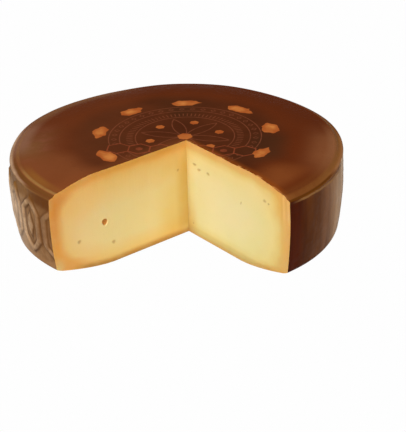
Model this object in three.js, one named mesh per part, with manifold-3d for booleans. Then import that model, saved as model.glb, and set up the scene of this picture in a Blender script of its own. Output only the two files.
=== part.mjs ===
// A wheel of aged gouda with a quarter cut out of it. Millimetres, +Z up.
// The origin is where the wheel's axis meets the flat underside. The cut-out opens towards -Y.

import * as THREE from "three";
import { mergeVertices } from "three/addons/utils/BufferGeometryUtils.js";
import Module from "manifold-3d";

const wasm = await Module();
wasm.setup();

// Overall size of the wheel
const HEIGHT = 102;
const RIM_RADIUS = 169.1; // at the edge between top and side
const SEGMENTS = 96;

// Top: flat in the middle, a falling shoulder, then a narrow steeper bevel to the rim
const TOP_FLAT_RADIUS = 116;
const BEVEL_RADIUS = 162.5;
const BEVEL_Z = 94.4;
const RIM_Z = 91.4;
const RIM_ROUND = 1.2;

// Underside: flat in the middle, rising towards a lower edge that is drawn in a little
const BASE_FLAT_RADIUS = 96;
const HEEL_RADIUS = 158.8;
const HEEL_Z = 11.9;
const LOWER_EDGE_RADIUS = 165.8;
const LOWER_EDGE_Z = 15.9;

// Both shoulders fall away along this power of the distance from the flat
const SHOULDER_POWER = 1.5;
const SHOULDER_STEPS = 5;

// The side bulges between its two edges
const SIDE_BULGE = 2.1;
const SIDE_STEPS = 6;

// A real wheel is a little out of round: lobes of a few millimetres
const LOBES = [
  { count: 2, share: 0.0095, turn: THREE.MathUtils.degToRad(70.5) },
  { count: 3, share: 0.0044, turn: THREE.MathUtils.degToRad(56.8) },
  { count: 4, share: 0.004, turn: THREE.MathUtils.degToRad(2.3) },
  { count: 5, share: 0.0022, turn: THREE.MathUtils.degToRad(54.6) },
  { count: 6, share: 0.0046, turn: THREE.MathUtils.degToRad(31.6) },
  { count: 7, share: 0.0008, turn: THREE.MathUtils.degToRad(50.2) },
];

// The cut-out: two upright knife cuts that meet near the axis
const CUT_APEX = { x: 10.3, y: -5.6 };
const CUT_HALF_ANGLE = THREE.MathUtils.degToRad(43.77);
const CUT_MIDDLE = THREE.MathUtils.degToRad(-90);

// A frieze of long honeycomb cells stands out from the side, with a lozenge in each cell.
// It runs from the back right round to the left cut, and the side is plain to the right of the cut-out.
const CELL_PLACES = 28; // equal places for cells round the whole wheel
const FIRST_CELL = 2;
const LAST_CELL = 18;
const CELL_WIDTH = 33;
const CELL_HEIGHT = 60;
const CELL_POINT = 15; // height of the pointed part at each end
const CELL_WALL = 6.5;
const CELL_Z = 54;
const LOZENGE_WIDTH = 9;
const LOZENGE_HEIGHT = 26;
const RELIEF = 2;
const RELIEF_ROOT = 3; // how far the relief's root reaches into the wheel

// Small eyes where the knife opened a hole: distance from the apex along the cut, height, and half-sizes
const LEFT_EYES = [
  { along: 105.6, z: 46.5, wide: 3.4, tall: 3.8, deep: 1.7 },
  { along: 137.4, z: 35.6, wide: 2.4, tall: 2.2, deep: 0.8 },
  { along: 96.0, z: 21.6, wide: 2.4, tall: 2.2, deep: 0.8 },
];
const RIGHT_EYES = [
  { along: 12.8, z: 79.7, wide: 3.2, tall: 1.6, deep: 0.8 },
  { along: 20.0, z: 76.1, wide: 3.2, tall: 1.6, deep: 0.8 },
  { along: 34.6, z: 76.8, wide: 2.8, tall: 1.8, deep: 0.8 },
  { along: 122.0, z: 79.1, wide: 2.6, tall: 1.8, deep: 0.8 },
];

const COATING_COLOUR = 0x6a3519;
const COATING_ROUGHNESS = 0.4;

function roundness(angle) {
  let share = 1;
  for (const lobe of LOBES) {
    share += lobe.share * Math.cos(lobe.count * (angle + lobe.turn));
  }
  return share;
}

// Radius of the side at a height, before the lobes
function sideRadius(z) {
  const t = (z - LOWER_EDGE_Z) / (RIM_Z - LOWER_EDGE_Z);
  const straight = LOWER_EDGE_RADIUS + (RIM_RADIUS - LOWER_EDGE_RADIUS) * t;
  return straight + 4 * SIDE_BULGE * t * (1 - t);
}

// Half of the wheel's section, from the axis at the bottom round to the axis at the top
function wheelProfile() {
  const points = [new THREE.Vector2(0, 0)];
  for (let i = 0; i <= SHOULDER_STEPS; i++) {
    const t = i / SHOULDER_STEPS;
    const r = BASE_FLAT_RADIUS + (HEEL_RADIUS - BASE_FLAT_RADIUS) * t;
    points.push(new THREE.Vector2(r, HEEL_Z * t ** SHOULDER_POWER));
  }
  for (let i = 0; i <= SIDE_STEPS; i++) {
    const z = LOWER_EDGE_Z + ((RIM_Z - RIM_ROUND - LOWER_EDGE_Z) * i) / SIDE_STEPS;
    points.push(new THREE.Vector2(sideRadius(z), z));
  }
  points.push(new THREE.Vector2(RIM_RADIUS - RIM_ROUND, RIM_Z + RIM_ROUND / 2));
  for (let i = SHOULDER_STEPS; i >= 0; i--) {
    const t = i / SHOULDER_STEPS;
    const r = TOP_FLAT_RADIUS + (BEVEL_RADIUS - TOP_FLAT_RADIUS) * t;
    points.push(new THREE.Vector2(r, HEIGHT - (HEIGHT - BEVEL_Z) * t ** SHOULDER_POWER));
  }
  points.push(new THREE.Vector2(0, HEIGHT));
  return points;
}

function toSolid(geometry) {
  const bare = geometry.clone();
  bare.deleteAttribute("normal");
  bare.deleteAttribute("uv");
  const merged = mergeVertices(bare, 1e-4);
  return new wasm.Manifold(
    new wasm.Mesh({
      numProp: 3,
      vertProperties: new Float32Array(merged.attributes.position.array),
      triVerts: new Uint32Array(merged.index.array),
    }),
  );
}

function toGeometry(solid) {
  const mesh = solid.getMesh();
  const geometry = new THREE.BufferGeometry();
  geometry.setAttribute("position", new THREE.BufferAttribute(new Float32Array(mesh.vertProperties), 3));
  geometry.setIndex(new THREE.BufferAttribute(new Uint32Array(mesh.triVerts), 1));
  geometry.computeVertexNormals();
  return geometry;
}

// Moves every point of a geometry by a function of its place
function reshape(geometry, move) {
  const position = geometry.attributes.position;
  const point = new THREE.Vector3();
  for (let i = 0; i < position.count; i++) {
    move(point.fromBufferAttribute(position, i));
    position.setXYZ(i, point.x, point.y, point.z);
  }
  return geometry;
}

function wheelBody() {
  const lathe = new THREE.LatheGeometry(wheelProfile(), SEGMENTS);
  lathe.rotateX(Math.PI / 2);
  return toSolid(
    reshape(lathe, (point) => {
      const share = roundness(Math.atan2(point.y, point.x));
      point.x *= share;
      point.y *= share;
    }),
  );
}

function cellShape(width, height, pointed) {
  const shape = new THREE.Shape();
  shape.moveTo(0, -height / 2);
  shape.lineTo(width / 2, -height / 2 + pointed);
  shape.lineTo(width / 2, height / 2 - pointed);
  shape.lineTo(0, height / 2);
  shape.lineTo(-width / 2, height / 2 - pointed);
  shape.lineTo(-width / 2, -height / 2 + pointed);
  shape.closePath();
  return shape;
}

function lozengeShape(width, height) {
  const shape = new THREE.Shape();
  shape.moveTo(0, -height / 2);
  shape.lineTo(width / 2, 0);
  shape.lineTo(0, height / 2);
  shape.lineTo(-width / 2, 0);
  shape.closePath();
  return shape;
}

// Stands a flat outline on the wheel's side at an angle: its x runs round the wheel and its y upwards
function onTheSide(shape, angle) {
  const depth = RELIEF_ROOT + RELIEF;
  const flat = new THREE.ExtrudeGeometry(shape, { depth, bevelEnabled: false });
  return toSolid(
    reshape(flat, (point) => {
      const around = angle + point.x / RIM_RADIUS;
      const z = CELL_Z + point.y;
      const radius = sideRadius(z) * roundness(around) - RELIEF_ROOT + point.z;
      point.set(radius * Math.cos(around), radius * Math.sin(around), z);
    }),
  );
}

function cell(angle) {
  const frame = cellShape(CELL_WIDTH, CELL_HEIGHT, CELL_POINT);
  const wallShare = (CELL_WIDTH - 2 * CELL_WALL) / CELL_WIDTH;
  frame.holes.push(cellShape(CELL_WIDTH * wallShare, CELL_HEIGHT - 2 * CELL_WALL, CELL_POINT * wallShare));
  return onTheSide(frame, angle).add(onTheSide(lozengeShape(LOZENGE_WIDTH, LOZENGE_HEIGHT), angle));
}

function withFrieze(body) {
  let solid = body;
  for (let i = FIRST_CELL; i <= LAST_CELL; i++) {
    solid = solid.add(cell((2 * Math.PI * i) / CELL_PLACES));
  }
  return solid;
}

// A unit vector along the left cut (side = -1) or the right cut (side = 1), going outwards
function cutDirection(side) {
  const angle = CUT_MIDDLE + side * CUT_HALF_ANGLE;
  return new THREE.Vector2(Math.cos(angle), Math.sin(angle));
}

function cutOut() {
  const reach = 2 * RIM_RADIUS;
  const left = cutDirection(-1).multiplyScalar(reach);
  const right = cutDirection(1).multiplyScalar(reach);
  const wedge = new THREE.Shape();
  wedge.moveTo(CUT_APEX.x, CUT_APEX.y);
  wedge.lineTo(CUT_APEX.x + left.x, CUT_APEX.y + left.y);
  wedge.lineTo(CUT_APEX.x + right.x, CUT_APEX.y + right.y);
  wedge.closePath();
  const geometry = new THREE.ExtrudeGeometry(wedge, { depth: 3 * HEIGHT, bevelEnabled: false });
  geometry.translate(0, 0, -HEIGHT);
  return toSolid(geometry);
}

function eye({ along, z, wide, tall, deep }, side) {
  const direction = cutDirection(side);
  const geometry = new THREE.SphereGeometry(1, 10, 8);
  geometry.scale(wide, deep, tall);
  geometry.rotateZ(Math.atan2(direction.y, direction.x));
  geometry.translate(CUT_APEX.x + direction.x * along, CUT_APEX.y + direction.y * along, z);
  return toSolid(geometry);
}

function cheeseWheel() {
  let solid = withFrieze(wheelBody()).subtract(cutOut());
  for (const hole of LEFT_EYES) {
    solid = solid.subtract(eye(hole, -1));
  }
  for (const hole of RIGHT_EYES) {
    solid = solid.subtract(eye(hole, 1));
  }
  const coating = new THREE.MeshStandardMaterial({
    color: COATING_COLOUR,
    roughness: COATING_ROUGHNESS,
    metalness: 0,
  });
  const mesh = new THREE.Mesh(toGeometry(solid), coating);
  mesh.name = "cheese_wheel";
  return mesh;
}

const gouda = new THREE.Group();
gouda.add(cheeseWheel());

export default gouda;
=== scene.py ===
import math

import bpy
import numpy as np
from mathutils import Matrix, Vector, noise
from mathutils.geometry import delaunay_2d_cdt


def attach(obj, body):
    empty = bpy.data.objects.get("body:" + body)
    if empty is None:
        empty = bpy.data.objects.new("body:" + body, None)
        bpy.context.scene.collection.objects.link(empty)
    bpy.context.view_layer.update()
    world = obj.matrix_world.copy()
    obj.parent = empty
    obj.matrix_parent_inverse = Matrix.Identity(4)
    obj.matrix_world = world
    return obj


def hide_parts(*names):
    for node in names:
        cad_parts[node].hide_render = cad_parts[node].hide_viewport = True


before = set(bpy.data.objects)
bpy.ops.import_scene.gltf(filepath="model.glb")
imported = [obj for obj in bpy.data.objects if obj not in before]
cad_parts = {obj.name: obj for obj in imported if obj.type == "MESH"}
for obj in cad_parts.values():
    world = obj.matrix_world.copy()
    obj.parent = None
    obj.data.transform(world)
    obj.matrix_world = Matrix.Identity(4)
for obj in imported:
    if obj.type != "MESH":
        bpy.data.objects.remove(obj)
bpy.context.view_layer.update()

# Lengths are millimetres until the mesh is made, but the camera's and the floor's are metres.
# Angles are radians unless a comment says degrees.
MM = 0.001
PER_METRE = 1 / MM

# Overall size of the wheel
HEIGHT = 102.0
RIM_RADIUS = 169.1

# Top: flat middle, falling shoulder, a fine ridge, a steeper bevel and the rim
TOP_FLAT_RADIUS = 116.0
BEVEL_RADIUS = 162.5
BEVEL_Z = 94.4
RIM_Z = 91.4
RIDGE_RADIUS = 161.0
RIDGE_HEIGHT = 0.5
RIDGE_WIDTH = 1.7

# The rounded rim, as steps (inwards from the rim's radius, upwards from its height)
RIM_STEPS = ((5.0, 1.6), (3.6, 0.9), (2.4, 0.7), (1.3, 0.5), (0.5, 0.1), (0.05, -0.7))

# Underside: flat middle, rising heel, lower edge
BASE_FLAT_RADIUS = 96.0
HEEL_RADIUS = 158.8
HEEL_Z = 11.9
LOWER_EDGE_RADIUS = 165.8
LOWER_EDGE_Z = 15.9

# The rounded lower edge, as steps (inwards from its radius, downwards from its height)
LOWER_EDGE_STEPS = ((0.3, 0.6), (1.4, 1.5), (3.7, 2.6))

# Both shoulders fall away along this power of the distance from the flat, and the side bulges
SHOULDER_POWER = 1.5
SIDE_BULGE = 2.1

# Lobes of a wheel that is a little out of round: (count, share of the radius, turn in degrees)
LOBES = (
    (2, 0.0095, 70.5),
    (3, 0.0044, 56.8),
    (4, 0.004, 2.3),
    (5, 0.0022, 54.6),
    (6, 0.0046, 31.6),
    (7, 0.0008, 50.2),
)

# The two knife cuts
CUT_APEX = (10.3, -5.6)
CUT_HALF_ANGLE = math.radians(43.77)
CUT_MIDDLE = math.radians(-90)

# The frieze of long honeycomb cells runs from the back right round to the left cut
CELL_PLACES = 28
FIRST_CELL = 2
LAST_CELL = 18
CELL_WIDTH = 33.0
CELL_HEIGHT = 60.0
CELL_POINT = 15.0
CELL_WALL = 6.5
CELL_Z = 54.0
LOZENGE_WIDTH = 9.0
LOZENGE_HEIGHT = 26.0
RELIEF = 2.0
RELIEF_EDGE = 2.2
FRIEZE_REACH = 8.0 # the distance to the frieze's edge is kept up to here

# Eyes in the paste: (distance along the cut, height, half width, half height, depth)
LEFT_EYES = (
    (105.6, 46.5, 3.4, 3.8, 1.7),
    (137.4, 35.6, 2.4, 2.2, 0.25),
    (96.0, 21.6, 2.4, 2.2, 0.25),
    (11.7, 72.8, 1.5, 1.7, 0.2),
)
RIGHT_EYES = (
    (12.8, 79.7, 3.2, 1.6, 0.25),
    (20.0, 76.1, 3.2, 1.6, 0.25),
    (34.6, 76.8, 2.8, 1.8, 0.25),
    (122.0, 79.1, 2.6, 1.8, 0.25),
    (127.8, 77.9, 1.6, 1.2, 0.2),
    (86.2, 63.8, 0.8, 2.2, 0.15),
    (8.3, 12.4, 1.2, 1.2, 0.15),
)

# Eyes are made of rings of points, each at a share of the eye's radius
EYE_SHARES = (1.45, 1.28, 1.14, 1.0, 0.93, 0.8, 0.6, 0.35)
EYE_POINTS = 22
EYE_TILT = 0.35
EYE_UNEVENNESS = 0.07
EYE_LIP = 0.12
EYE_CLEARANCE = 1.85 # radii of an eye that the paste's even points keep clear of
OPEN_EYE_DEPTH = 1.0 # deeper eyes are open bowls, and the others only shallow dimples given painted shade

# Rows of points on the rind: on the flats by radius, and elsewhere by number or step
STEPS_ROUND = 700
TOP_ROW_RADII = (6.0, 13.0, 22.0, 34.0, 48.0, 64.0, 82.0, 100.0)
BASE_ROW_RADII = (80.0, 58.0, 38.0, 22.0, 12.0, 6.0)
SHOULDER_ROWS = 11
RIDGE_ROWS = 6
HEEL_ROWS = 8
SHOULDER_ROWS_END = 6.0 # before the bevel
RIDGE_ROWS_START = 4.6 # before the bevel
SIDE_STEP = 1.12
SIDE_ROWS_START = 1.4 # below the rim
SIDE_ROWS_END = 0.6 # above the lower edge

# Circles of points up to the first radius are centred on the apex, and from the second on the axis
APEX_CIRCLES = 8.0
AXIS_CIRCLES = 100.0
LOBE_ROUNDS = 4 # each round finds the lobes at a better angle

# Even points on the paste
PASTE_STEP = 2.4
PASTE_REACH = 180.0 # longer than either cut
PASTE_CLEARANCE = 0.9 # between the even points and the rind
CUT_WAVE = 0.22 # height of a knife cut's slow waves
CUT_WAVE_LENGTHS = (38.0, 30.0) # along the cut and upwards

# Layers of smooth unevenness on the rind: (height, length of a feature, seed)
SWAY = ((0.9, 13.0, 7), (0.5, 4.5, 8))
LIFT = ((0.9, 13.0, 9), (0.5, 4.5, 10))
DENTS = ((0.5, 42.0, 1), (0.22, 15.0, 3))
DENT_DEPTH = 0.3 # how far in the side lies between a dent and a rise
SCUFFS = ((0.22, 5.0, 11),)
TOP_WAVES = ((0.45, 48.0, 4),)
WEAR = ((0.35, 23.0, 2),) # added to the share of the relief's height that is left
RELIEF_LEFT = 0.8
CHIP_SIZE = 2.6
CHIP_DEPTH = 0.9
CHIP_REACH = 0.8

# How many times as deep a point counts for each millimetre above the base, and how sharply depths under
# two rinds blend
BASE_PACE = 1.9
CORNER_POWER = 3.0


def smooth(low, high, value):
    t = np.clip((value - low) / (high - low), 0.0, 1.0)
    return t * t * (3 - 2 * t)


def roundness(angle):
    share = 1.0
    for count, size, turn in LOBES:
        share = share + size * np.cos(count * (angle + math.radians(turn)))
    return share


def side_radius(z):
    t = (z - LOWER_EDGE_Z) / (RIM_Z - LOWER_EDGE_Z)
    return LOWER_EDGE_RADIUS + (RIM_RADIUS - LOWER_EDGE_RADIUS) * t + 4 * SIDE_BULGE * t * (1 - t)


def shoulder(r, flat_radius, edge_radius, drop):
    t = np.clip((r - flat_radius) / (edge_radius - flat_radius), 0, None)
    return drop * t**SHOULDER_POWER


def top_z(r):
    """Height of the top at a radius, out to where the bevel starts."""
    ridge = RIDGE_HEIGHT * math.exp(-(((r - RIDGE_RADIUS) / RIDGE_WIDTH) ** 2))
    return HEIGHT - shoulder(r, TOP_FLAT_RADIUS, BEVEL_RADIUS, HEIGHT - BEVEL_Z) + ridge


def profile_rows():
    """The wheel's section as (radius, height), from near the axis on the top round to near it below."""
    rows = [(r, HEIGHT) for r in TOP_ROW_RADII]
    shoulder_radii = np.linspace(TOP_FLAT_RADIUS, BEVEL_RADIUS - SHOULDER_ROWS_END, SHOULDER_ROWS)
    ridge_radii = np.linspace(BEVEL_RADIUS - RIDGE_ROWS_START, BEVEL_RADIUS, RIDGE_ROWS)
    rows += [(r, top_z(r)) for r in (*shoulder_radii, *ridge_radii)]
    rows += [(RIM_RADIUS - inwards, RIM_Z + up) for inwards, up in RIM_STEPS]
    for z in np.arange(RIM_Z - SIDE_ROWS_START, LOWER_EDGE_Z + SIDE_ROWS_END, -SIDE_STEP):
        rows.append((side_radius(z), z))
    rows += [(LOWER_EDGE_RADIUS - inwards, LOWER_EDGE_Z - down) for inwards, down in LOWER_EDGE_STEPS]
    for r in np.linspace(HEEL_RADIUS, BASE_FLAT_RADIUS, HEEL_ROWS):
        rows.append((r, shoulder(r, BASE_FLAT_RADIUS, HEEL_RADIUS, HEEL_Z)))
    rows += [(r, 0.0) for r in BASE_ROW_RADII]
    return rows


def on_ray(angle, radius):
    """Distance from the cuts' apex, along a ray, to the wheel's uneven circle of a radius.

    Small circles are centred on the apex and large ones on the axis, so the rows never cross."""
    centre_share = 1 - smooth(APEX_CIRCLES, AXIS_CIRCLES, radius)
    centre = (CUT_APEX[0] * centre_share, CUT_APEX[1] * centre_share)
    dx, dy = np.cos(angle), np.sin(angle)
    ox, oy = CUT_APEX[0] - centre[0], CUT_APEX[1] - centre[1]
    along = np.full_like(angle, radius)
    for _ in range(LOBE_ROUNDS):
        x, y = CUT_APEX[0] + along * dx, CUT_APEX[1] + along * dy
        lobes = 1 + (roundness(np.arctan2(y, x)) - 1) * (1 - centre_share)
        reach = radius * lobes
        b = ox * dx + oy * dy
        along = -b + np.sqrt(np.maximum(b * b - (ox * ox + oy * oy) + reach * reach, 0))
    return along


def cell_distance(x, y, width, height, pointed):
    """Signed distance to a long hexagon's outline, negative inside."""
    slope = 2 * pointed / width
    end = (np.abs(y) - height / 2 + np.abs(x) * slope) / math.sqrt(1 + slope * slope)
    return np.maximum(np.abs(x) - width / 2, end)


def frieze_distance(angle, z):
    """Signed distance to the edge of the frieze's raised shapes, positive on them."""
    pitch = 2 * math.pi / CELL_PLACES
    middle = (FIRST_CELL + LAST_CELL) / 2 * pitch
    turned = (angle - middle + math.pi) % (2 * math.pi) - math.pi + middle
    x = (turned - np.clip(np.round(turned / pitch), FIRST_CELL, LAST_CELL) * pitch) * RIM_RADIUS
    y = z - CELL_Z
    outer = cell_distance(x, y, CELL_WIDTH, CELL_HEIGHT, CELL_POINT)
    share = (CELL_WIDTH - 2 * CELL_WALL) / CELL_WIDTH
    inner = cell_distance(x, y, CELL_WIDTH * share, CELL_HEIGHT - 2 * CELL_WALL, CELL_POINT * share)
    frame_wall = np.minimum(-outer, inner)
    slope = LOZENGE_HEIGHT / LOZENGE_WIDTH
    lozenge = -(np.abs(y) + np.abs(x) * slope - LOZENGE_HEIGHT / 2) / math.sqrt(1 + slope * slope)
    return np.maximum(frame_wall, lozenge)


# How far the noise is moved along each axis from one seed to the next
SEED_STEPS = (17.3, 5.1, 9.7)


def field(points, scale, seed):
    """Smooth noise from -1 to 1 at points in millimetres, with features of about that scale."""
    shift = Vector([seed * step for step in SEED_STEPS])
    return np.array([noise.noise(Vector(p) / scale + shift) for p in points])


def layered(points, layers):
    """The sum of layers of noise, each given as its height, scale and seed."""
    return sum(height * field(points, scale, seed) for height, scale, seed in layers)


def cut_vector(side):
    """Unit vector along the left cut (side -1) or the right one (side 1), going outwards."""
    angle = CUT_MIDDLE + side * CUT_HALF_ANGLE
    return np.array((math.cos(angle), math.sin(angle)))


def apex_distance(points):
    return np.hypot(points[:, 0] - CUT_APEX[0], points[:, 1] - CUT_APEX[1])


def cut_distances(points):
    """Each point's distance from the left and the right cut, large where it's behind the apex."""
    flat = points[:, :2] - np.array(CUT_APEX)
    found = []
    for side in (-1, 1):
        vector = cut_vector(side)
        along = flat @ vector
        off = np.abs(flat[:, 0] * vector[1] - flat[:, 1] * vector[0])
        found.append(np.where(along > 0, off, apex_distance(points)))
    return found


def distance_to_line(points, line):
    """Each 2-D point's distance to a polyline."""
    best = np.full(len(points), np.inf)
    for a, b in zip(line[:-1], line[1:]):
        step = b - a
        t = np.clip(((points - a) @ step) / max(step @ step, 1e-9), 0, 1)
        best = np.minimum(best, np.hypot(*(points - a - t[:, None] * step).T))
    return best


class Wheel:
    """Collects the wheel's points, faces and point values before the mesh is made."""

    def __init__(self):
        self.points = []
        self.eye_depths = []
        self.eye_shadows = []
        self.faces = []
        self.parts = []

    def add_points(self, points, eye_depths=0.0, eye_shadows=0.0):
        first = sum(len(p) for p in self.points)
        self.points.append(np.asarray(points, float))
        self.eye_depths.append(np.zeros(len(points)) + eye_depths)
        self.eye_shadows.append(np.zeros(len(points)) + eye_shadows)
        return np.arange(first, first + len(points))

    def add_faces(self, faces, part):
        self.faces += [tuple(int(i) for i in face) for face in faces]
        self.parts += [part] * len(faces)


TOP, SIDE, PASTE = 0, 1, 2
TOP_COAT_LIMIT = RIM_Z - 1.5 # the top's coating reaches down over the rim to here


def coated_surface(wheel, rows):
    """The rind: rows of points on rays from the apex, from the right cut round to the left one."""
    start = CUT_MIDDLE + CUT_HALF_ANGLE
    angles = start + (2 * math.pi - 2 * CUT_HALF_ANGLE) * np.linspace(0, 1, STEPS_ROUND + 1)
    ids = []
    for radius, z in rows:
        along = on_ray(angles, radius)
        x = CUT_APEX[0] + along * np.cos(angles)
        y = CUT_APEX[1] + along * np.sin(angles)
        ids.append(wheel.add_points(np.stack([x, y, np.full_like(x, z)], 1)))
    for upper, lower, (_, z) in zip(ids[:-1], ids[1:], rows[1:]):
        quads = zip(upper[:-1], lower[:-1], lower[1:], upper[1:])
        wheel.add_faces(list(quads), TOP if z > TOP_COAT_LIMIT else SIDE)
    return np.array(ids)


def apex_line(wheel):
    """Points down the inner corner, from the top to the bottom."""
    heights = np.linspace(HEIGHT, 0.0, int(HEIGHT / PASTE_STEP) + 1)
    return wheel.add_points([(*CUT_APEX, z) for z in heights])


def eye_profile(share, depth):
    """Depth of an eye at a share of its radius: a steep bowl if it's deep, a soft dimple if not.

    A slight lip stands round it."""
    if share > 1:
        return -EYE_LIP * min(1.0, depth) * math.sin(math.pi * (share - 1) / (EYE_SHARES[0] - 1))
    steepness = 0.5 if depth > OPEN_EYE_DEPTH else 1.0
    return depth * (1 - share * share) ** steepness


def eye_rings(eyes):
    """Points round and inside each eye, in the cut's plane, with each one's depth and painted shade."""
    points, depths, shadows = [], [], []
    for along, height, half_wide, half_tall, depth in eyes:
        tilt = EYE_TILT * math.sin(along)
        # Shallow eyes get painted shade, darkest in the middle, in place of a hollow deep enough to
        # shade itself
        stain_and_shadow = 0.0 if depth > OPEN_EYE_DEPTH else 1.0
        for share in EYE_SHARES:
            for i in range(EYE_POINTS):
                turn = 2 * math.pi * (i + (share < 0.9) / 2) / EYE_POINTS
                uneven = 1 + EYE_UNEVENNESS * math.sin(3 * turn + along)
                u = half_wide * share * uneven * math.cos(turn)
                v = half_tall * share * uneven * math.sin(turn)
                u, v = u * math.cos(tilt) - v * math.sin(tilt), u * math.sin(tilt) + v * math.cos(tilt)
                points.append((along + u, height + v))
                depths.append(eye_profile(share, depth))
                shadows.append(stain_and_shadow * (1 - smooth(0.3, 1.3, share)))
        points.append((along, height))
        depths.append(depth)
        shadows.append(stain_and_shadow)
    return points, depths, shadows


def near_eye(u, v, eyes):
    ratios = [math.hypot((u - eye[0]) / eye[2], (v - eye[1]) / eye[3]) for eye in eyes]
    return min(ratios) < EYE_CLEARANCE


# What the triangulation is asked for: only the inside of the outline, and points this close joined
INSIDE_ONLY = 1
SNAP = 1e-6


def cut_face(wheel, edge_ids, corner_ids, side, eyes, rind_line):
    """One flat knife cut: the rind's edge and the inner corner, filled in with triangles."""
    vector = cut_vector(side)
    known = np.concatenate(wheel.points)
    outline_ids = list(edge_ids) + list(corner_ids[::-1])
    outline = known[outline_ids]
    along = (outline[:, :2] - np.array(CUT_APEX)) @ vector
    flat = [Vector((a, z)) for a, z in zip(along, outline[:, 2])]

    inside = []
    row_step = PASTE_STEP * math.sqrt(3) / 2
    for j in range(1, int(HEIGHT / row_step)):
        for i in range(int(PASTE_REACH / PASTE_STEP)):
            inside.append(((i + 0.5 * (j % 2) + 0.6) * PASTE_STEP, j * row_step))
    spots = [cut_point(side, u, v) for u, v in inside]
    section = np.array([(math.hypot(x, y) / roundness(math.atan2(y, x)), z) for x, y, z in spots])
    within = is_inside(section, rind_line)
    clear = distance_to_line(section, rind_line) > PASTE_CLEARANCE
    inside = [p for p, a, b in zip(inside, within, clear) if a and b and not near_eye(*p, eyes)]
    ring_points, ring_depths, ring_shadows = eye_rings(eyes)
    extra = inside + ring_points
    deep = [0.0] * len(inside) + ring_depths
    shadowed = [0.0] * len(inside) + ring_shadows
    loop = list(range(len(flat)))
    made = delaunay_2d_cdt(flat + [Vector(p) for p in extra], [], [loop], INSIDE_ONLY, SNAP)
    _, _, triangles, sources, _, _ = made

    normal = np.array((vector[1], -vector[0])) * side
    places = []
    for (u, v), d in zip(extra, deep):
        x, y, z = cut_point(side, u, v)
        fade = smooth(0.0, 12.0, u)
        wave_spot = Vector((u / CUT_WAVE_LENGTHS[0], v / CUT_WAVE_LENGTHS[1], 5.0 * side))
        push = -d + fade * CUT_WAVE * noise.noise(wave_spot)
        places.append((x + normal[0] * push, y + normal[1] * push, z))
    new_ids = wheel.add_points(places, deep, shadowed)
    lookup = outline_ids + list(new_ids)
    picked = [lookup[s[0]] for s in sources]
    faces = [[picked[i] for i in t] for t in triangles]
    if side < 0:
        faces = [face[::-1] for face in faces]
    wheel.add_faces(faces, PASTE)


def cut_point(side, along, z):
    vector = cut_vector(side)
    return CUT_APEX[0] + vector[0] * along, CUT_APEX[1] + vector[1] * along, z


def is_inside(section, rind_line):
    """True where a point of the section lies between the axis and the rind."""
    result = []
    for r, z in section:
        crossings = 0
        for (r0, z0), (r1, z1) in zip(rind_line[:-1], rind_line[1:]):
            if (z0 > z) != (z1 > z) and r0 + (z - z0) / (z1 - z0) * (r1 - r0) > r:
                crossings += 1
        result.append(crossings % 2 == 1)
    return result


def sculpt(wheel, rind_ids):
    """Moves the rind's points: the frieze, soft dents and chipped edges.

    Returns all points and their distances to the frieze's edges."""
    points = np.concatenate(wheel.points)
    to_frieze = np.full(len(points), -FRIEZE_REACH)
    flat_ids = rind_ids.reshape(-1)
    rind = points[flat_ids]
    angle = np.arctan2(rind[:, 1], rind[:, 0])
    z = rind[:, 2]
    on_side = smooth(LOWER_EDGE_Z, LOWER_EDGE_Z + 2, z) * (1 - smooth(RIM_Z - 2.5, RIM_Z - 1.5, z))
    distance = frieze_distance(angle + layered(rind, SWAY) / RIM_RADIUS, z + layered(rind, LIFT))
    to_frieze[flat_ids] = np.clip(distance, -FRIEZE_REACH, FRIEZE_REACH)
    left, right = cut_distances(rind)
    whole = smooth(0.5, 6.0, np.minimum(left, right))
    share = smooth(-RELIEF_EDGE / 2, RELIEF_EDGE / 2, distance) * on_side * whole
    out = RELIEF * share * (RELIEF_LEFT + layered(rind, WEAR))
    out += np.minimum(on_side * (layered(rind, DENTS) - DENT_DEPTH), 0.0)
    out += on_side * whole * layered(rind, SCUFFS)
    reach = np.hypot(rind[:, 0], rind[:, 1])
    rind[:, 0] *= 1 + out / reach
    rind[:, 1] *= 1 + out / reach
    on_top = smooth(60.0, 120.0, reach) * smooth(88.0, 92.5, z)
    rind[:, 2] += on_top * layered(rind, TOP_WAVES)
    chips = np.maximum(0.0, field(rind, CHIP_SIZE, 6) + 0.1) * CHIP_DEPTH
    chipped = np.exp(-right / CHIP_REACH) + 0.5 * np.exp(-left / CHIP_REACH)
    away = smooth(4.0, 20.0, apex_distance(rind))
    rind[:, 2] -= chips * chipped * away * smooth(88.0, 92.0, z)
    points[flat_ids] = rind
    return points, to_frieze


def depths_in_paste(section, rind, on_left):
    """Distances in from the wheel's side and up from its base, and how deep a point counts as.

    A point counts as less deep where two rinds are near. The side's rind reaches further in at the right
    than at the left, and at the left least halfway up. The base's rind reaches least of all."""
    heights = rind[:, 1]
    on_side = (heights <= RIM_Z) & (heights >= LOWER_EDGE_Z - 0.1)
    top_gap = distance_to_line(section, rind[heights > RIM_Z])
    side_gap = distance_to_line(section, rind[on_side])
    base_gap = distance_to_line(section, rind[heights < LOWER_EDGE_Z - 0.1])
    z = section[:, 1]
    halfway_up = (1 - smooth(50.0, 78.0, z)) * smooth(10.0, 45.0, z)
    side_pace = np.where(on_left, 0.75 + 0.7 * halfway_up, 0.42 + 0.13 * halfway_up)
    gaps = (top_gap, side_gap * side_pace, base_gap * BASE_PACE)
    closeness = sum(np.maximum(gap, 0.05) ** -CORNER_POWER for gap in gaps)
    return side_gap, base_gap, closeness ** (-1 / CORNER_POWER)


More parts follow.
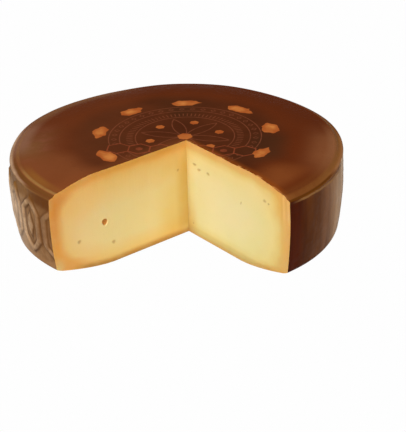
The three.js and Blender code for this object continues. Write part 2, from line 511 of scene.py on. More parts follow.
def wheel_mesh():
    rows = profile_rows()
    wheel = Wheel()
    rind_ids = coated_surface(wheel, rows)
    corner_ids = apex_line(wheel)
    wheel.add_faces([(corner_ids[0], a, b) for a, b in zip(rind_ids[0][:-1], rind_ids[0][1:])], TOP)
    wheel.add_faces([(corner_ids[-1], b, a) for a, b in zip(rind_ids[-1][:-1], rind_ids[-1][1:])], SIDE)
    rind_line = np.array([(0.0, HEIGHT)] + rows + [(0.0, 0.0)])
    cut_face(wheel, rind_ids[:, -1], corner_ids, -1, LEFT_EYES, rind_line)
    cut_face(wheel, rind_ids[:, 0], corner_ids, 1, RIGHT_EYES, rind_line)
    points, to_frieze = sculpt(wheel, rind_ids)

    reach = np.hypot(points[:, 0], points[:, 1])
    lobes = roundness(np.arctan2(points[:, 1], points[:, 0]))
    section = np.stack([reach / lobes, points[:, 2]], 1)
    on_left = points[:, 0] < CUT_APEX[0]
    side_gap, base_gap, rind_depth = depths_in_paste(section, rind_line[1:-1], on_left)

    mesh = bpy.data.meshes.new("cheese")
    mesh.from_pydata((points * MM).tolist(), [], wheel.faces)
    mesh.polygons.foreach_set("material_index", wheel.parts)
    values = {
        "rind_depth": rind_depth,
        "side_gap": side_gap,
        "base_gap": base_gap,
        "from_cut": np.minimum(*cut_distances(points)),
        "from_corner": apex_distance(points),
        "to_frieze": to_frieze,
        "section_radius": section[:, 0],
        "eye_depth": np.concatenate(wheel.eye_depths),
        "eye_shadow": np.concatenate(wheel.eye_shadows),
    }
    for name, numbers in values.items():
        mesh.attributes.new(name, "FLOAT", "POINT").data.foreach_set("value", numbers)
    mesh.polygons.foreach_set("use_smooth", [True] * len(mesh.polygons))
    mark_sharp_edges(mesh)
    mesh.validate()
    mesh.update()
    return mesh


SHARP_COSINE = 0.35 # an edge is sharp where its two faces' normals are further apart than this


def mark_sharp_edges(mesh):
    """The knife's edges and the inner corner stay crisp."""
    facing = {}
    for face in mesh.polygons:
        for key in face.edge_keys:
            facing.setdefault(key, []).append((face.material_index, face.normal.copy()))
    sharp = []
    for edge in mesh.edges:
        sides = facing.get(edge.key, [])
        differs = len(sides) == 2 and (sides[0][0] == PASTE) != (sides[1][0] == PASTE)
        folded = len(sides) == 2 and sides[0][1].dot(sides[1][1]) < SHARP_COSINE
        sharp.append(differs or folded)
    mesh.attributes.new("sharp_edge", "BOOLEAN", "EDGE").data.foreach_set("value", sharp)


def add_object(name, data):
    made = bpy.data.objects.new(name, data)
    bpy.context.scene.collection.objects.link(made)
    return made


def set_inputs(node, values):
    for name, value in values.items():
        node.inputs[name].default_value = value


def linear(red, green, blue):
    """A colour given as 0 to 255, as it's seen on a screen, in the shader's linear numbers."""
    result = []
    for value in (red, green, blue):
        v = value / 255
        result.append(v / 12.92 if v <= 0.04045 else ((v + 0.055) / 1.055) ** 2.4)
    return (*result, 1.0)


def stops(table, reach):
    """A ramp's stops, from distances with screen colours and the distance at the ramp's end."""
    return [(distance / reach, linear(*colour)) for distance, colour in table]


# Sockets of Blender's mix node when it mixes colours, since several share a name
FIRST_COLOUR = 6
SECOND_COLOUR = 7
MIXED_COLOUR = 2

# How far each axis of a noise is moved for each unit of its shift
SHIFT_SHARES = (1, 0.7, 1.3)


class Shader:
    """Short calls that add nodes to a new material. Values may be sockets or plain numbers."""

    def __init__(self, name):
        self.material = bpy.data.materials.new(name)
        self.material.use_nodes = True
        self.tree = self.material.node_tree
        self.surface = self.tree.nodes["Principled BSDF"]
        self.vector = None # where the point is, in metres

    def node(self, kind, **settings):
        made = self.tree.nodes.new("ShaderNode" + kind)
        for key, value in settings.items():
            setattr(made, key, value)
        return made

    def put(self, value, socket):
        if isinstance(value, bpy.types.NodeSocket):
            self.tree.links.new(value, socket)
        else:
            socket.default_value = value

    def math(self, operation, *values):
        made = self.node("Math", operation=operation)
        for value, socket in zip(values, made.inputs):
            self.put(value, socket)
        return made.outputs[0]

    def chain(self, operation, values):
        """Works through any number of values with an operation on two."""
        result = values[0]
        for value in values[1:]:
            result = self.math(operation, result, value)
        return result

    def plus(self, *values):
        return self.chain("ADD", values)

    def minus(self, *values):
        return self.chain("SUBTRACT", values)

    def times(self, *values):
        return self.chain("MULTIPLY", values)

    def divide(self, *values):
        return self.chain("DIVIDE", values)

    def most(self, *values):
        return self.chain("MAXIMUM", values)

    def absolute(self, value):
        return self.math("ABSOLUTE", value)

    def length(self, x, y):
        return self.math("SQRT", self.plus(self.times(x, x), self.times(y, y)))

    def attribute(self, name):
        return self.node("Attribute", attribute_name=name).outputs["Fac"]

    def place(self):
        """The point's place on the object, as x, y and z in millimetres."""
        self.vector = self.node("TexCoord").outputs["Object"]
        split = self.node("SeparateXYZ")
        self.put(self.vector, split.inputs[0])
        return [self.times(socket, PER_METRE) for socket in split.outputs]

    def noise(self, size, detail=2.0, rough=0.5, shift=0.0, stretch=(1, 1, 1)):
        """Noise from 0 to 1 with features of a size in millimetres. Only after a call of place()."""
        mapping = self.node("Mapping")
        self.put(self.vector, mapping.inputs["Vector"])
        location = [shift * share for share in SHIFT_SHARES]
        scale = [PER_METRE / size * share for share in stretch]
        set_inputs(mapping, {"Location": location, "Scale": scale})
        made = self.node("TexNoise")
        self.put(mapping.outputs[0], made.inputs["Vector"])
        set_inputs(made, {"Scale": 1.0, "Detail": detail, "Roughness": rough})
        return made.outputs["Fac"]

    def span(self, value, low, high, start=0.0, end=1.0):
        """Maps value from low..high to start..end, softly and held at both ends."""
        made = self.node("MapRange", interpolation_type="SMOOTHSTEP")
        for number, name in ((low, "From Min"), (high, "From Max"), (start, "To Min"), (end, "To Max")):
            self.put(number, made.inputs[name])
        self.put(value, made.inputs["Value"])
        return made.outputs[0]

    def fall(self, value, low, high, start=1.0):
        """A share that falls from start at low to 0 at high."""
        return self.span(value, low, high, start, 0.0)

    def band(self, value, low, risen, falling, high):
        """A share that rises from 0 at low to 1 at risen, and falls again from falling to high."""
        return self.times(self.span(value, low, risen), self.fall(value, falling, high))

    def mix(self, share, first, second, blend="MIX"):
        made = self.node("Mix", data_type="RGBA", blend_type=blend)
        self.put(share, made.inputs["Factor"])
        self.put(first, made.inputs[FIRST_COLOUR])
        self.put(second, made.inputs[SECOND_COLOUR])
        return made.outputs[MIXED_COLOUR]

    def tone(self, share, first, second):
        """A mix of two screen colours."""
        return self.mix(share, linear(*first), linear(*second))

    def ramp(self, value, stops):
        made = self.node("ValToRGB")
        elements = made.color_ramp.elements
        while len(elements) < len(stops):
            elements.new(0.5)
        for element, (position, colour) in zip(elements, stops):
            element.position = position
            element.color = colour
        self.put(value, made.inputs[0])
        return made.outputs["Color"]

    def bump(self, height, distance, strength):
        """A normal for a height from 0 to 1 that stands for a distance in millimetres."""
        made = self.node("Bump")
        set_inputs(made, {"Strength": strength, "Distance": distance * MM})
        self.put(height, made.inputs["Height"])
        return made.outputs[0]


class Paint:
    """A surface's colour while others are laid over it, each by a share from 0 to 1."""

    def __init__(self, shader, colour):
        self.shader = shader
        self.colour = colour

    def over(self, share, colour, blend="MIX"):
        self.colour = self.shader.mix(share, self.colour, colour, blend)

    def lay(self, share, red, green, blue):
        self.over(share, linear(red, green, blue))

    def tint(self, share, red, green, blue):
        """Multiplies the colour by a factor for each of red, green and blue."""
        self.over(share, (red, green, blue, 1.0), "MULTIPLY")


# Paste colours by depth under the rind in millimetres, towards the left cut and towards the right one.
# The left ones are darker and more orange: painted shade on the less lit face, over the paste's own
# change with depth
RIND_REACH = 45
LEFT_PASTE = (
    (0, (220, 162, 71)),
    (4, (226, 161, 69)),
    (6, (231, 168, 77)),
    (9, (237, 183, 96)),
    (12, (237, 191, 106)),
    (17, (237, 195, 115)),
    (24, (237, 200, 123)),
    (32, (237, 203, 132)),
    (41, (236, 209, 141)),
)
RIGHT_PASTE = (
    (0, (225, 166, 90)),
    (3, (229, 174, 94)),
    (6, (227, 182, 100)),
    (9, (233, 200, 122)),
    (14, (237, 213, 142)),
    (22, (233, 215, 151)),
    (32, (235, 218, 163)),
    (41, (235, 219, 168)),
)

# How much of each colour stays at a share of the wheel's height: painted shade towards the base
LEFT_TINT = (
    (0, (0.93, 0.98, 1, 1)),
    (0.3, (0.96, 1, 1, 1)),
    (0.75, (1, 1, 1, 1)),
)
RIGHT_TINT = (
    (0, (0.66, 0.70, 0.66, 1)),
    (0.04, (0.66, 0.73, 0.74, 1)),
    (0.07, (0.70, 0.68, 0.54, 1)),
    (0.1, (0.83, 0.83, 0.75, 1)),
    (0.16, (0.87, 0.91, 0.86, 1)),
    (0.4, (0.93, 0.95, 0.91, 1)),
    (0.6, (0.96, 0.98, 0.95, 1)),
    (0.75, (1, 1, 1, 1)),
)


def paste_material():
    s = Shader("paste")
    x, _, z = s.place()
    from_corner = s.attribute("from_corner")
    side_gap = s.attribute("side_gap")
    eye = s.attribute("eye_depth")
    left = s.fall(x, CUT_APEX[0] - 0.6, CUT_APEX[0] + 0.6)
    right = s.minus(1, left)

    depth = s.attribute("rind_depth")
    wander = s.times(s.minus(s.noise(22, 3), 0.5), 5)
    shifted = s.plus(depth, s.times(wander, s.span(depth, 0, 6)))
    share = s.divide(shifted, RIND_REACH)
    left_colour = s.ramp(share, stops(LEFT_PASTE, RIND_REACH))
    right_colour = s.ramp(share, stops(RIGHT_PASTE, RIND_REACH))
    paint = Paint(s, s.mix(left, right_colour, left_colour))

    # The inner corner is darker and more golden, most of all at the left: painted shade, with the golden
    # light that the two faces throw onto each other painted in
    clear_of_rind = s.times(s.span(depth, 2, 26), left)
    paint.lay(s.times(s.fall(from_corner, 12, 48, 0.35), clear_of_rind), 214, 178, 90)
    strength = s.span(z, 85, 60, 0.6, 0.78)
    golden = s.times(s.fall(from_corner, 4, 18), clear_of_rind, strength)
    paint.lay(golden, 208, 164, 74)
    paint.lay(s.fall(from_corner, 0, 6, 0.35), 204, 160, 76)
    low_corner = s.times(s.band(from_corner, 3, 12, 18, 46), s.span(z, 70, 20), left)
    paint.tint(low_corner, 0.97, 0.89, 0.72)
    # Painted shade in the right face's inner corner and low down near its foot
    paint.tint(s.times(s.fall(from_corner, 3, 16), right), 0.97, 0.92, 0.80)
    paint.tint(s.times(s.fall(from_corner, 10, 45), s.span(z, 75, 55), right), 0.95, 0.96, 0.90)
    foot_corner = s.times(s.fall(from_corner, 4, 20), s.span(z, 45, 14), right)
    paint.tint(foot_corner, 0.94, 0.80, 0.66)

    # A band of orange under the side's rind at the left. It lies deeper in near the top and the base
    near_top, near_base = s.span(z, 74, 88), s.span(z, 36, 10)
    middle = s.plus(s.times(near_top, 5), s.times(near_base, 12), 5.5)
    reach = s.plus(s.times(near_top, 9), s.span(z, 24, 12, 0, 22), 13)
    inwards = s.divide(s.minus(side_gap, middle), reach)
    orange = s.times(s.fall(inwards, 0, 1, 0.9), s.span(side_gap, 0, 6, 0.6, 1))
    orange = s.times(orange, s.span(z, 5, 11), s.span(z, 95, 88, 0.3, 1), left)
    paint.over(orange, s.tone(s.span(z, 30, 56), (228, 158, 66), (218, 143, 54)))
    # Painted highlight along the left face's lower edge, next to the side's rind
    lower_edge_highlight = s.times(s.fall(side_gap, 3, 14, 0.95), s.span(z, 32, 12), left)
    paint.lay(lower_edge_highlight, 222, 190, 118)
    paint.lay(s.times(s.fall(side_gap, 1, 7, 0.8), s.span(z, 76, 84), left), 208, 156, 82)
    paint.tint(s.times(s.span(from_corner, 90, 130), left), 1.055, 0.985, 0.98)

    # Both faces grow a little duller towards the base, as painted shade
    left_tint = s.ramp(s.divide(z, HEIGHT), LEFT_TINT)
    right_tint = s.ramp(s.divide(z, HEIGHT), RIGHT_TINT)
    paint.over(1, s.mix(left, right_tint, left_tint), "MULTIPLY")
    foot = s.times(s.fall(s.attribute("base_gap"), 0.5, 8, 0.75), s.span(side_gap, 15, 45), left)
    paint.lay(foot, 160, 113, 43)

    # Amber under the top of the side's rind at the right
    amber = s.times(s.band(side_gap, 7, 14, 18, 32), s.span(z, 56, 80), right)
    paint.tint(amber, 1, 0.93, 0.74)

    # Faint upright lines of light and shade run down the right cut near the wheel's side
    lined = s.times(s.fall(side_gap, 10, 18), s.span(z, 60, 80), right)
    wave = s.math("COSINE", s.times(s.minus(side_gap, 3), 2 * math.pi / 6.5))
    paint.lay(s.times(s.span(wave, 0.2, 1, 0, 0.4), lined), 244, 200, 118)
    paint.lay(s.times(s.fall(wave, -1, -0.2, 0.3), lined), 208, 156, 76)

    cloud = s.span(s.noise(30, 4, 0.6, shift=3.1), 0.3, 0.7)
    paint.lay(s.times(cloud, 0.12), 238, 220, 162)
    pores = s.span(s.noise(1.6, 1, 0.5, shift=7.7), 0.66, 0.74)
    paint.lay(s.times(pores, 0.1), 196, 152, 86)
    # Painted highlight on the eyes' raised lips, painted shade in the shallow eyes, and painted shade
    # growing with depth inside the open eyes
    paint.lay(s.fall(eye, -EYE_LIP, -0.02, 0.45), 248, 210, 146)
    paint.lay(s.times(s.attribute("eye_shadow"), 0.6), 170, 130, 70)
    paint.lay(s.span(eye, 0.25, 1.1), 196, 128, 56)
    s.put(paint.colour, s.surface.inputs["Base Color"])
    glow = {"Subsurface Weight": 0.3, "Subsurface Radius": (1, 0.5, 0.2), "Subsurface Scale": 0.004}
    set_inputs(s.surface, {**glow, "Specular IOR Level": 0.2})
    rough = s.span(s.noise(9, 3), 0.3, 0.7, 0.5, 0.62)
    s.put(rough, s.surface.inputs["Roughness"])
    streaks = s.noise(3, 2, 0.5, shift=1.9, stretch=(1, 1, 0.06))
    grain = s.noise(1.4, 2, 0.6, shift=5)
    height = s.plus(s.times(streaks, 0.6), s.times(grain, 0.4))
    s.put(s.bump(height, 0.25, 0.5), s.surface.inputs["Normal"])
    return s.material


# The printed design on the top
DESIGN_CENTRE = (8, 4)
DESIGN_TURN = math.radians(9)
PATCH_COUNT = 9
PATCH_TURN = math.radians(15)
PATCH_RADIUS = 88
PATCH_SIZE = 7.3
PATCH_LENGTH = 1.75 # how many times as long as wide, round the design
PATCH_RAGGEDNESS = 4
CIRCLE_RADII = (77, 66, 50)
DIAMOND_COUNT = 40
DIAMOND_RADIUS = 71.5
DIAMOND_SIZE = 2.6
ROSETTE_RADIUS = 46
SEED_RADIUS = 36
SEED_SIZE = 4.2
HEART_SIZE = 7
LINE_WIDTH = 0.9
CHAIN_CELL = 10.5
CHAIN_Y = -33
CHAIN_END = 74.2
CHAIN_DOT = 3.4
TICK_COUNT = 84
TICK_RADIUS = 56
TICK_LENGTH = 3.2


def fold(s, angle, count):
    """The angle from the middle of the nearest of count equal sectors, without its sign."""
    sector = 2 * math.pi / count
    return s.absolute(s.math("WRAP", angle, sector / 2, -sector / 2))


def hexagon(s, u, v, size):
    """Distance to a hexagon with flat sides at u = size, negative inside."""
    u, v = s.absolute(u), s.absolute(v)
    slanted = s.plus(s.times(u, 0.5), s.times(v, math.sqrt(3) / 2))
    return s.minus(s.most(u, slanted), size)


def in_sector(s, radius, folded, centre):
    """Flat coordinates round a point at a distance from the design's middle."""
    u = s.minus(s.times(radius, s.math("COSINE", folded)), centre)
    v = s.times(radius, s.math("SINE", folded))
    return u, v


def line_share(s, distance, width=LINE_WIDTH):
    return s.fall(s.absolute(distance), width * 0.35, width * 0.75)


def fill_share(s, distance):
    return s.fall(distance, -0.35, 0.35)


def design(s, x, y, z):
    """Shares of the thin lines, the chain of cells, the filled patches and their bright cores."""
    x = s.minus(x, DESIGN_CENTRE[0])
    y = s.minus(y, DESIGN_CENTRE[1])
    radius = s.length(x, y)
    angle = s.plus(s.math("ARCTAN2", y, x), DESIGN_TURN)

    u, v = in_sector(s, radius, fold(s, s.plus(angle, PATCH_TURN), PATCH_COUNT), PATCH_RADIUS)
    ragged = s.minus(s.noise(13, 2.5, 0.5, shift=3.7), 0.5)
    block = hexagon(s, u, s.divide(v, PATCH_LENGTH), PATCH_SIZE)
    patch_depth = s.plus(block, s.times(ragged, 2 * PATCH_RAGGEDNESS))
    patches = fill_share(s, patch_depth)
    circles = s.most(*(line_share(s, s.minus(radius, r)) for r in CIRCLE_RADII))
    u, v = in_sector(s, radius, fold(s, angle, DIAMOND_COUNT), DIAMOND_RADIUS)
    diamond = s.minus(s.plus(s.absolute(u), s.absolute(v)), DIAMOND_SIZE)
    diamonds = line_share(s, diamond)

    u, v = in_sector(s, radius, fold(s, angle, TICK_COUNT), TICK_RADIUS)
    ticks = s.times(line_share(s, v), fill_share(s, s.minus(s.absolute(u), TICK_LENGTH)))

    folded = fold(s, angle, 6)
    arcs = []
    for turn in (-math.pi / 3, math.pi / 3):
        u, v = in_sector(s, radius, s.minus(folded, turn), 0)
        u = s.minus(u, ROSETTE_RADIUS)
        reach = s.length(u, v)
        arcs.append(line_share(s, s.minus(reach, ROSETTE_RADIUS)))
    within = fill_share(s, s.minus(radius, ROSETTE_RADIUS))
    rosette = s.times(s.most(*arcs), within)

    u, v = in_sector(s, radius, fold(s, s.plus(angle, math.pi / 6), 6), SEED_RADIUS)
    seeds = fill_share(s, hexagon(s, v, u, SEED_SIZE))
    u, v = in_sector(s, radius, folded, 0)
    heart = fill_share(s, hexagon(s, v, u, HEART_SIZE))

    row = s.math("WRAP", x, CHAIN_CELL, -CHAIN_CELL)
    cells = hexagon(s, row, s.minus(y, CHAIN_Y), CHAIN_CELL)
    inside_row = fill_share(s, s.minus(s.absolute(x), CHAIN_END))
    chain = s.times(line_share(s, cells, 1.2), inside_row)
    clear = s.times(fill_share(s, cells), inside_row)
    two_cells = s.math("WRAP", x, 3 * CHAIN_CELL, -CHAIN_CELL)
    dot = fill_share(s, hexagon(s, two_cells, s.minus(y, CHAIN_Y), CHAIN_DOT))
    chain = s.most(chain, s.times(dot, inside_row, 0.7))

    keep = s.minus(1, clear)
    top = s.span(z, 96, 97)
    lines = s.times(s.most(circles, diamonds, rosette, ticks), keep, top)
    fills = s.times(s.most(patches, s.times(s.most(seeds, heart), keep)), top)
    core = s.span(patch_depth, -1, -PATCH_SIZE * 0.7)
    return lines, s.times(chain, top), fills, core


def paint_top(s, x, y, radius, from_cut):
    """Brown wax: darkest in the middle and at the back.

    The lighter left and right shoulders are painted sheen over the wax's own lighter tone, and the
    redder wax beside the cuts is a painted glow of light coming through it.
    """
    mottle = s.span(s.noise(55, 4, 0.55), 0.3, 0.7)
    paint = Paint(s, s.tone(mottle, (76, 34, 12), (90, 42, 17)))
    olive = s.span(s.noise(70, 3, 0.5, shift=4.4), 0.5, 0.72)
    paint.lay(s.times(olive, 0.5), 66, 38, 16)
    paint.lay(s.span(radius, 92, 122, 0, 0.8), 101, 42, 11)

    left = s.fall(x, -5, 25)
    right = s.minus(1, left)
    drift = s.span(s.noise(34, 3, 0.5, shift=2.6), 0.25, 0.75, 0.7, 1)
    # Painted sheen on the left shoulder, over the wax's own lighter tone there
    paint.lay(s.times(s.span(x, -30, -75), 0.25), 118, 62, 32)
    by_left = s.times(s.span(x, -80, -140), s.band(y, -100, -50, -20, 48))
    patchy = s.span(s.noise(26, 3, 0.55, shift=1.3), 0.4, 0.6)
    shoulder_tone = s.tone(patchy, (122, 77, 43), (137, 84, 57))
    paint.over(s.times(by_left, s.span(radius, 104, 150), drift), shoulder_tone)
    far_left = s.times(s.span(radius, 143, 159), s.span(y, 20, 60), s.span(x, -50, -95), 0.85)
    paint.lay(far_left, 128, 84, 53)
    pale_left = s.times(s.span(radius, 144, 156), s.band(y, -52, -5, 20, 55), left, 0.9)
    paint.lay(pale_left, 136, 93, 69)
    front_left = s.times(s.span(y, -25, -60), s.span(radius, 96, 122), left)
    paint.lay(s.times(front_left, drift), 124, 67, 34)
    # Painted sheen on the right shoulder, over the wax's own lighter tone there
    by_right = s.times(s.span(x, 100, 150), s.band(y, -85, -25, 0, 60))
    paint.lay(s.times(by_right, s.span(radius, 118, 156), drift), 134, 80, 46)
    front_right = s.times(s.span(y, -45, -70), s.band(radius, 104, 130, 140, 156), right)
    paint.lay(s.times(front_right, drift), 124, 64, 27)
    dull = s.times(s.band(x, 66, 86, 98, 122), s.band(y, -62, -32, 0, 30), 0.55)
    paint.lay(dull, 66, 38, 18)

    # Painted glow: the wax is redder beside the cuts, where light comes through it from the paste
    paint.lay(s.times(s.fall(from_cut, 1, 18, 0.45), drift, left), 132, 70, 34)
    paint.lay(s.times(s.fall(from_cut, 1, 9, 0.85), drift, right), 138, 66, 14)
    torn = s.times(s.span(s.noise(9, 3, 0.6, shift=8.8), 0.46, 0.6), s.span(x, 140, 90))
    torn = s.times(torn, s.fall(from_cut, 0.6, 2.8, 0.7), right)
    paint.lay(torn, 214, 146, 80)
    return paint


def paint_rim(s, paint, x, y, radius, from_cut):
    """The ridge, crease and rounded rim: gold, olive and pinkish at the left, browner at the right.

    The ridge's gold, the pinkish rim and the lighter lines on the right rim are painted highlights, and
    the olive crease and the dark line on the right rim are painted shade.
    """
    broken = s.span(s.noise(26, 3, 0.6, shift=7.1), 0.3, 0.6, 0.5, 1)
    left = s.fall(x, -20, 20)
    right = s.minus(1, left)
    warm = s.times(s.band(radius, 149.5, 154.5, 158.5, 160), left, s.span(y, -55, -88), 0.85)
    paint.lay(s.times(warm, s.span(from_cut, 4, 34, 0.4, 1)), 137, 85, 35)
    # Painted highlight along the ridge
    ridge = s.times(s.band(radius, 158.3, 160, 161.3, 163.2), left, s.span(y, 60, 0), broken)
    paint.lay(s.times(ridge, s.span(y, -60, -78, 0.25, 0.88)), 156, 112, 60)
    # Painted shade in the crease
    crease = s.band(radius, 162.2, 163.4, 165.8, 166.8)
    paint.lay(s.times(crease, left, s.span(y, -30, -62), 0.9), 108, 66, 28)
    # Painted highlight on the rounded rim at the left
    pink_from = s.span(y, -84, -64, 165.6, 164.4)
    pink = s.times(s.span(y, -104, -76), broken)
    rim_tone = s.tone(pink, (110, 68, 32), (188, 152, 120))
    on_left_rim = s.times(s.span(radius, pink_from, 168), left, s.span(y, 60, 0), 0.95)
    paint.over(on_left_rim, rim_tone)
    rounded = s.span(radius, 165.6, 168)
    outer = s.times(s.span(radius, 150, 158), right, s.span(y, 70, 20), 0.6)
    paint.over(outer, s.tone(s.span(y, -80, 0), (112, 60, 24), (142, 92, 58)))
    # Painted highlight along the right rim's bevel
    towards_back = s.span(y, -110, -20, 0.45, 0.9)
    lighter = s.times(s.band(radius, 159.4, 164, 166.4, 167.4), right, broken, towards_back)
    paint.lay(lighter, 136, 87, 40)
    # Painted shade on the right rim's rounded edge at the front
    dark = s.times(rounded, right, s.span(y, -30, -75), 0.85)
    paint.lay(dark, 88, 48, 6)
    # Painted highlight on the right rim's rounded edge
    wear_and_highlight = s.times(rounded, right, s.band(y, -62, -40, 20, 60), broken)
    paint.lay(wear_and_highlight, 152, 102, 62)


# Colours of the plain side by distance from the right cut in millimetres: painted shade darkest by the
# cut, giving way to painted sheen over its own brown furthest round
PLAIN_REACH = 120
PLAIN_SIDE = (
    (0, (70, 21, 1)),
    (12, (76, 26, 2)),
    (27, (98, 50, 12)),
    (44, (110, 63, 28)),
    (61, (134, 88, 55)),
    (77, (172, 127, 88)),
    (92, (204, 164, 126)),
    (110, (212, 174, 138)),
)


def side_colour(s, x, y, z, from_cut, to_frieze):
    """Stained recesses with painted shadow beside the relief, and paler raised relief, thinned by
    rubbing and partly painted highlight.

    Painted sheen lightens the foot in part and the left side far from the cut. Painted shadow darkens it
    under the rim, and it is darker brown beside the left cut.
    """
    stain_and_shadow = s.span(s.noise(16, 4, 0.65, shift=9.2), 0.3, 0.7)
    recess = s.tone(stain_and_shadow, (134, 93, 52), (170, 128, 84))
    # Painted shadow in the recesses beside the relief's edges
    relief_shadow = s.span(to_frieze, -4, -0.6, 0, 0.9)
    recess = s.mix(relief_shadow, recess, linear(84, 50, 20))
    # The raised relief is paler: partly wax thinned by rubbing, partly painted highlight
    raised = s.tone(stain_and_shadow, (184, 142, 100), (218, 180, 138))
    rubbed_and_highlit = s.span(s.noise(7, 3, 0.6, shift=3.3), 0.3, 0.7, 0.6, 1)
    share = s.times(s.span(to_frieze, -RELIEF_EDGE / 2, RELIEF_EDGE / 2), rubbed_and_highlit)
    paint = Paint(s, s.mix(share, recess, raised))
    # Paler along the foot of the side: partly its own paler tone, partly painted sheen
    paint.lay(s.times(s.fall(z, 15, 25), 0.7), 170, 124, 82)

    left = s.fall(x, -20, 20)
    towards_back = s.span(y, 20, -40)
    # Painted sheen on the left side far from the cut, where it turns away towards the back
    pale = s.times(s.span(from_cut, 25, 92, 0, 0.5), left, s.span(z, 80, 62), towards_back)
    paint.lay(pale, 226, 198, 170)
    by_left = s.times(s.fall(from_cut, 10, 46, 0.75), s.span(z, 18, 52, 0.35, 1), left)
    paint.lay(by_left, 116, 73, 36)
    uneven = s.span(s.noise(20, 3, 0.6, shift=4.9), 0.3, 0.65, 0.72, 0.96)
    rim_shadow = s.most(uneven, s.fall(from_cut, 10, 30, 0.95))
    under_rim = s.times(s.band(z, 75, 83, 90, 92), rim_shadow, left)
    brown = s.tone(s.span(from_cut, 14, 56), (98, 53, 13), (127, 85, 40))
    paint.over(under_rim, brown)
    paint.over(s.minus(1, left), plain_side(s, y, z, from_cut, paint.colour))
    return paint.colour


def plain_side(s, y, z, from_cut, behind):
    """The side to the right of the cut-out: painted shade darkest beside the knife cut, and painted
    sheen over its own brown further round.

    A dark line and a light one wander along it under the rim."""
    paint = Paint(s, s.ramp(s.divide(from_cut, PLAIN_REACH), stops(PLAIN_SIDE, PLAIN_REACH)))
    streaks = s.span(s.noise(12, 3, 0.5, shift=6.3, stretch=(1, 1, 0.12)), 0.3, 0.7, -0.2, 0.2)
    for end, factors in ((0.2, (1.22, 1.25, 1.28, 1)), (-0.2, (0.8, 0.76, 0.72, 1))):
        paint.over(1, s.mix(s.span(streaks, 0, end), (1, 1, 1, 1), factors), "MULTIPLY")

    wander = s.times(s.minus(s.noise(17, 2, 0.5, shift=5.9), 0.5), 3)
    line = s.plus(s.span(from_cut, 24, 80, 89.4, 86.4), wander)
    above = s.minus(z, line)
    shown = s.times(s.span(from_cut, 1, 20), s.span(from_cut, 104, 88))
    light = s.times(s.band(above, -2, -0.8, 0.4, 1.4), shown, 0.8)
    paint.lay(light, 164, 114, 62)
    dark = s.times(s.band(above, 0.6, 1.8, 5, 7), shown, 0.85)
    paint.lay(dark, 122, 68, 14)
    paint.over(s.span(y, 0, 45), behind)
    return paint.colour


# The wax on the top shines a little more than the rubbed side
TOP_SPECULAR = 0.08
SIDE_SPECULAR = 0.04


def coating_material(name, specular):
    s = Shader(name)
    x, y, z = s.place()
    radius = s.attribute("section_radius")
    from_cut = s.attribute("from_cut")
    paint = paint_top(s, x, y, radius, from_cut)
    paint_rim(s, paint, x, y, radius, from_cut)

    lines, chain, fills, core = design(s, x, y, z)
    wear = s.span(s.noise(5, 2, 0.6, shift=2.2), 0.3, 0.6, 0.6, 1)
    paint.lay(s.times(lines, wear, 0.62), 140, 76, 50)
    paint.lay(s.times(chain, wear, 0.7), 158, 74, 44)
    tone = s.span(s.noise(14, 2, 0.5, shift=6.6), 0.3, 0.7)
    patch_tone = s.tone(tone, (180, 98, 42), (212, 130, 62))
    patch_tone = s.mix(s.times(s.minus(1, core), 0.5), patch_tone, linear(160, 66, 24))
    paint.over(s.times(fills, 0.95), patch_tone)

    side = s.fall(z, RIM_Z - 1, RIM_Z + 0.4)
    paint.over(side, side_colour(s, x, y, z, from_cut, s.attribute("to_frieze")))
    wear_and_highlight = s.span(s.noise(24, 4, 0.6, shift=5.5), 0.35, 0.7)
    underside = s.tone(wear_and_highlight, (92, 48, 22), (124, 74, 40))
    paint.over(s.fall(z, 3, 12), underside)
    s.put(paint.colour, s.surface.inputs["Base Color"])

    set_inputs(s.surface, {"Specular IOR Level": specular})
    rough = s.span(s.noise(12, 4, 0.6, shift=6.1), 0.3, 0.7, 0.38, 0.54)
    s.put(rough, s.surface.inputs["Roughness"])
    peel = s.noise(2.4, 2, 0.5, shift=8)
    ripple = s.noise(11, 2, 0.5, shift=1.2)
    height = s.plus(s.times(peel, 0.3), ripple)
    s.put(s.bump(height, 0.5, 0.35), s.surface.inputs["Normal"])
    return s.material


def make_cheese():
    cheese = add_object("cheese", wheel_mesh())
    cheese.data.materials.append(coating_material("top coating", TOP_SPECULAR))
    cheese.data.materials.append(coating_material("side coating", SIDE_SPECULAR))
    cheese.data.materials.append(paste_material())
    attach(cheese, "root")
    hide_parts("cheese_wheel")


# The camera, from the view in the photograph: angles in degrees, lengths in metres
VIEW_AZIMUTH = 7.43
VIEW_ELEVATION = 26.36
VIEW_DISTANCE = 1.648
VIEW_RAISE = 0.0133
VIEW_YAW = 0.852
VIEW_ROLL = -1.915
SENSOR = 36
FOCAL_PIXELS = 1600
LONG_SIDE_PIXELS = 432


def towards(azimuth, elevation):
    """Unit vector away from the wheel, by angles in degrees. The front's azimuth is 0."""
    a, e = math.radians(azimuth), math.radians(elevation)
    return Vector((math.cos(e) * math.sin(a), -math.cos(e) * math.cos(a), math.sin(e)))


def make_camera():
    back = towards(VIEW_AZIMUTH, VIEW_ELEVATION)
    place = VIEW_DISTANCE * back + Vector((0, 0, VIEW_RAISE))
    forward = -back
    right = Vector((0, 0, 1)).cross(back).normalized()
    up = back.cross(right)
    c, s = math.cos(math.radians(VIEW_YAW)), math.sin(math.radians(VIEW_YAW))
    forward, right = c * forward + s * right, c * right - s * forward
    c, s = math.cos(math.radians(VIEW_ROLL)), math.sin(math.radians(VIEW_ROLL))
    right, up = c * right + s * up, c * up - s * right
    data = bpy.data.cameras.new("camera")
    data.sensor_width = SENSOR
    data.lens = FOCAL_PIXELS / LONG_SIDE_PIXELS * SENSOR
    camera = add_object("camera", data)
    camera.matrix_world = Matrix.Translation(place) @ Matrix((right, up, -forward)).transposed().to_4x4()
    bpy.context.scene.camera = camera


# The floor, in metres
FLOOR_RADIUS = 1.6
FLOOR_POINTS = 128
FLOOR_BOUNCE = (222, 222, 222)
BACKGROUND = (254, 254, 254)


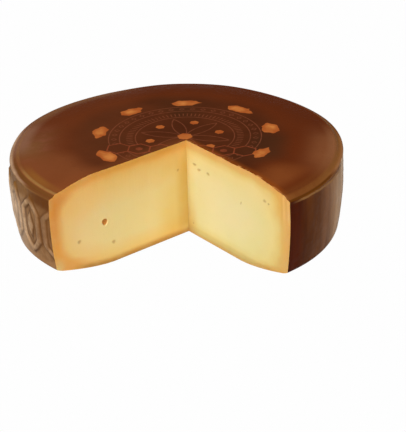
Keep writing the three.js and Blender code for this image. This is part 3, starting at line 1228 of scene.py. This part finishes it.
def show_evenly(tree, lit, even, output):
    """The eye meets the even shader, and light that bounces about meets the lit one."""
    blend = tree.nodes.new("ShaderNodeMixShader")
    path = tree.nodes.new("ShaderNodeLightPath")
    tree.links.new(path.outputs["Is Camera Ray"], blend.inputs[0])
    tree.links.new(lit.outputs[0], blend.inputs[1])
    tree.links.new(even.outputs[0], blend.inputs[2])
    tree.links.new(blend.outputs[0], output.inputs["Surface"])


def make_stage():
    """A round white floor that looks evenly lit and throws soft light back on the wheel."""
    mesh = bpy.data.meshes.new("floor")
    turns = np.linspace(0, 2 * math.pi, FLOOR_POINTS, endpoint=False)
    edge = [(FLOOR_RADIUS * math.cos(turn), FLOOR_RADIUS * math.sin(turn), 0.0) for turn in turns]
    mesh.from_pydata(edge, [], [range(FLOOR_POINTS)])
    floor = add_object("floor", mesh)
    s = Shader("floor")
    matt = {"Roughness": 0.9, "Specular IOR Level": 0.05}
    set_inputs(s.surface, {"Base Color": linear(*FLOOR_BOUNCE), **matt})
    evenly_lit = s.node("Emission")
    set_inputs(evenly_lit, {"Color": linear(*BACKGROUND)})
    show_evenly(s.tree, s.surface, evenly_lit, s.tree.nodes["Material Output"])
    mesh.materials.append(s.material)


# The light, in degrees, from in front and a little to the left. SUN_SPREAD is the angle that it fills
SUN_AZIMUTH = -8
SUN_ELEVATION = 50
SUN_SPREAD = 50
SUN_STRENGTH = 3.7
ROOM_STRENGTH = 0.06


def make_sun():
    data = bpy.data.lights.new("sun", "SUN")
    data.energy = SUN_STRENGTH
    data.angle = math.radians(SUN_SPREAD)
    light = add_object("sun", data)
    back = towards(SUN_AZIMUTH, SUN_ELEVATION)
    light.matrix_world = back.to_track_quat("Z", "Y").to_matrix().to_4x4()


def make_room():
    """Dim light from all round, in front of a background that the eye sees white."""
    world = bpy.data.worlds.new("studio")
    world.use_nodes = True
    tree = world.node_tree
    dim = tree.nodes["Background"]
    set_inputs(dim, {"Color": (1.0, 1.0, 1.0, 1.0), "Strength": ROOM_STRENGTH})
    pale = tree.nodes.new("ShaderNodeBackground")
    set_inputs(pale, {"Color": linear(*BACKGROUND)})
    show_evenly(tree, dim, pale, tree.nodes["World Output"])
    bpy.context.scene.world = world
    bpy.context.scene.view_settings.view_transform = "Standard"


make_camera()
make_cheese()
make_stage()
make_sun()
make_room()
